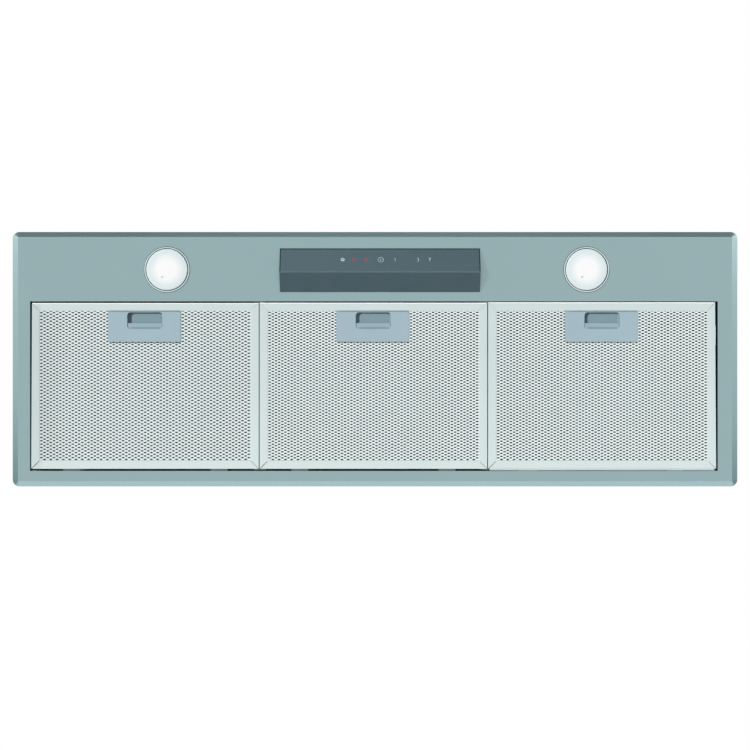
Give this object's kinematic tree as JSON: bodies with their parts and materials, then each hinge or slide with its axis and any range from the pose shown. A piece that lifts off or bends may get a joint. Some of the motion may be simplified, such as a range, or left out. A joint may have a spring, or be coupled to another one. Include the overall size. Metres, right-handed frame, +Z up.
{
  "type": "range hood insert",
  "caption": "Built-in extractor insert: bevelled steel face plate with hinged mesh filters, lamps and a touch panel below, and a blower tower with a duct spigot above.",
  "frame": {"origin": "centre of the face plate, at the height of the rim that seats on the cabinet's underside", "axes": "+Z up as installed, X along the hood with +X to the cook's right, -Y towards the cook and the control panel"},
  "size_m": [0.86, 0.3, 0.434],
  "materials": {
    "plate_paint": "satin silver grey paint with a fine metallic flake",
    "galvanised": "zinc coated sheet, faint spangle",
    "rail_aluminium": "satin anodised extrusion",
    "mesh_aluminium": "bright expanded metal",
    "handle_plastic": "satin grey moulding",
    "panel_plastic": "fine grained dark grey moulding",
    "fascia_plastic": "satin touch panel",
    "light_guide": "clear light guides",
    "lamp_chrome": "polished",
    "lamp_glass": "frosted diffuser",
    "reflector": "vapour coated reflector",
    "cast_aluminium": "cast heat sink and motor can",
    "spring_steel": "spring steel",
    "screw_steel": "zinc plated screws",
    "dog_steel": "pressed steel, zinc plated",
    "black_plastic": "moulded black plastic",
    "rubber": "soft rubber",
    "box_plastic": "pale grey moulded plastic",
    "circuit_board": "green solder mask",
    "capacitor": "white plastic can"
  },
  "bodies": {
    "root": {"face_plate": "plate_paint", "divider_bars": "galvanised", "control_housing": "panel_plastic", "control_fascia": "fascia_plastic", "control_board": "circuit_board", "light_guides": "light_guide", "lamp_rings": "lamp_chrome", "lamp_glasses": "lamp_glass", "lamp_reflectors": "reflector", "lamp_cans": "cast_aluminium", "lamp_clips": "spring_steel", "lower_housing": "galvanised", "motor_tower": "galvanised", "casing_screws": "screw_steel", "duct_spigot": "black_plastic", "flap_axle": "spring_steel", "blower_scroll": "galvanised", "motor_can": "cast_aluminium", "motor_spider": "galvanised", "rubber_mounts": "rubber", "electronics_box": "box_plastic", "electronics_lid": "box_plastic", "power_board": "circuit_board", "run_capacitor": "capacitor", "cable_gland": "black_plastic", "clamp_brackets": "galvanised"},
    "fan": {"fan_wheel": "black_plastic", "motor_shaft": "spring_steel"},
    "flap_front": {"flap_front": "black_plastic"},
    "flap_rear": {"flap_rear": "black_plastic"},
    "filter_left": {"filter_frame_left": "rail_aluminium", "front_mesh_left": "mesh_aluminium", "grease_pad_left": "mesh_aluminium", "back_mesh_left": "mesh_aluminium", "filter_handle_left": "handle_plastic", "latch_spring_left": "spring_steel"},
    "latch_left": {"latch_slider_left": "handle_plastic"},
    "filter_centre": {"filter_frame_centre": "rail_aluminium", "front_mesh_centre": "mesh_aluminium", "grease_pad_centre": "mesh_aluminium", "back_mesh_centre": "mesh_aluminium", "filter_handle_centre": "handle_plastic", "latch_spring_centre": "spring_steel"},
    "latch_centre": {"latch_slider_centre": "handle_plastic"},
    "filter_right": {"filter_frame_right": "rail_aluminium", "front_mesh_right": "mesh_aluminium", "grease_pad_right": "mesh_aluminium", "back_mesh_right": "mesh_aluminium", "filter_handle_right": "handle_plastic", "latch_spring_right": "spring_steel"},
    "latch_right": {"latch_slider_right": "handle_plastic"},
    "clamp_screw_left_front": {"clamp_screw_left_front": "screw_steel"},
    "clamp_dog_left_front": {"clamp_dog_left_front": "dog_steel"},
    "clamp_screw_left_rear": {"clamp_screw_left_rear": "screw_steel"},
    "clamp_dog_left_rear": {"clamp_dog_left_rear": "dog_steel"},
    "clamp_screw_right_front": {"clamp_screw_right_front": "screw_steel"},
    "clamp_dog_right_front": {"clamp_dog_right_front": "dog_steel"},
    "clamp_screw_right_rear": {"clamp_screw_right_rear": "screw_steel"},
    "clamp_dog_right_rear": {"clamp_dog_right_rear": "dog_steel"}
  },
  "joints": [
    {"name": "fan_spin", "type": "hinge", "parent": "root", "child": "fan", "pos_m": [0, -0.014, 0.215], "axis": [1, 0, 0], "continuous": true},
    {"name": "flap_front_swing", "type": "hinge", "parent": "root", "child": "flap_front", "pos_m": [0, 0.033, 0.376], "axis": [-1, 0, 0], "range_deg": [0, 75]},
    {"name": "flap_rear_swing", "type": "hinge", "parent": "root", "child": "flap_rear", "pos_m": [0, 0.033, 0.376], "axis": [1, 0, 0], "range_deg": [0, 75]},
    {"name": "filter_left_swing", "type": "hinge", "parent": "root", "child": "filter_left", "pos_m": [0, 0.1321, -0.0051], "axis": [1, 0, 0], "range_deg": [0, 60]},
    {"name": "latch_left_slide", "type": "slide", "parent": "filter_left", "child": "latch_left", "axis": [0, 1, 0], "range_m": [0, 0.005], "stiffness_N_per_m": 400, "springref_m": -0.004, "deforming": ["latch_spring_left"]},
    {"name": "filter_centre_swing", "type": "hinge", "parent": "root", "child": "filter_centre", "pos_m": [0, 0.1321, -0.0051], "axis": [1, 0, 0], "range_deg": [0, 60]},
    {"name": "latch_centre_slide", "type": "slide", "parent": "filter_centre", "child": "latch_centre", "axis": [0, 1, 0], "range_m": [0, 0.005], "stiffness_N_per_m": 400, "springref_m": -0.004, "deforming": ["latch_spring_centre"]},
    {"name": "filter_right_swing", "type": "hinge", "parent": "root", "child": "filter_right", "pos_m": [0, 0.1321, -0.0051], "axis": [1, 0, 0], "range_deg": [0, 60]},
    {"name": "latch_right_slide", "type": "slide", "parent": "filter_right", "child": "latch_right", "axis": [0, 1, 0], "range_m": [0, 0.005], "stiffness_N_per_m": 400, "springref_m": -0.004, "deforming": ["latch_spring_right"]},
    {"name": "clamp_left_front_swing", "type": "hinge", "parent": "root", "child": "clamp_screw_left_front", "pos_m": [-0.401, -0.05, 0.05], "axis": [0, 0, 1], "range_deg": [0, 90]},
    {"name": "clamp_left_front_travel", "type": "slide", "parent": "clamp_screw_left_front", "child": "clamp_dog_left_front", "axis": [0, 0, -1], "range_m": [0, 0.03]},
    {"name": "clamp_left_rear_swing", "type": "hinge", "parent": "root", "child": "clamp_screw_left_rear", "pos_m": [-0.401, 0.092, 0.05], "axis": [0, 0, 1], "range_deg": [0, 90]},
    {"name": "clamp_left_rear_travel", "type": "slide", "parent": "clamp_screw_left_rear", "child": "clamp_dog_left_rear", "axis": [0, 0, -1], "range_m": [0, 0.03]},
    {"name": "clamp_right_front_swing", "type": "hinge", "parent": "root", "child": "clamp_screw_right_front", "pos_m": [0.401, -0.05, 0.05], "axis": [0, 0, -1], "range_deg": [0, 90]},
    {"name": "clamp_right_front_travel", "type": "slide", "parent": "clamp_screw_right_front", "child": "clamp_dog_right_front", "axis": [0, 0, -1], "range_m": [0, 0.03]},
    {"name": "clamp_right_rear_swing", "type": "hinge", "parent": "root", "child": "clamp_screw_right_rear", "pos_m": [0.401, 0.092, 0.05], "axis": [0, 0, -1], "range_deg": [0, 90]},
    {"name": "clamp_right_rear_travel", "type": "slide", "parent": "clamp_screw_right_rear", "child": "clamp_dog_right_rear", "axis": [0, 0, -1], "range_m": [0, 0.03]}
  ]
}
